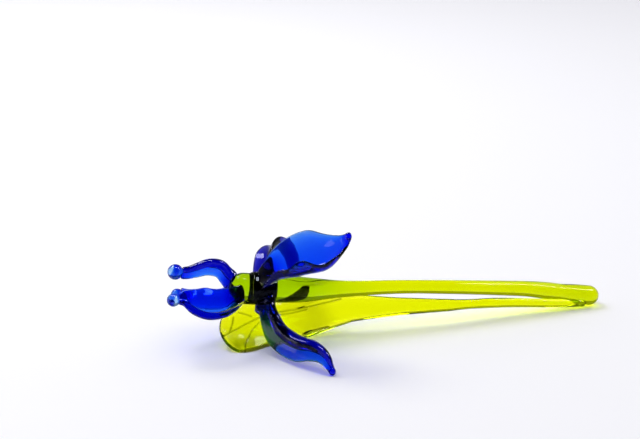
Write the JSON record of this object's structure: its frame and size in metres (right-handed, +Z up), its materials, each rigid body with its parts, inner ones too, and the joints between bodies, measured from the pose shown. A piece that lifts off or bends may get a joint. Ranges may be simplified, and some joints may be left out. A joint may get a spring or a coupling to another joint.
{
  "type": "glass iris",
  "caption": "Hand-worked glass iris with cupped, ruffled outer petals and channel-shaped inner petals on a tapering stem with a pressed leaf, made to lie on a surface.",
  "frame": {"origin": "on the surface that the flower lies on, under the middle of its bounding box", "axes": "+X along the stem from the flower to the foot, +Z up from the surface"},
  "size_m": [0.225, 0.0914, 0.06],
  "materials": {
    "green_glass": "clear chartreuse glass, fire-polished",
    "dark_glass": "blue glass so dense that it looks black, fire-polished",
    "blue_glass": "clear cobalt glass, fire-polished"
  },
  "bodies": {
    "root": {"stem": "green_glass", "leaf": "green_glass", "collar": "dark_glass", "fall_upper": "blue_glass", "fall_near": "blue_glass", "fall_far": "blue_glass", "standard_upper": "blue_glass", "standard_near": "blue_glass", "standard_lower": "blue_glass"}
  },
  "joints": []
}
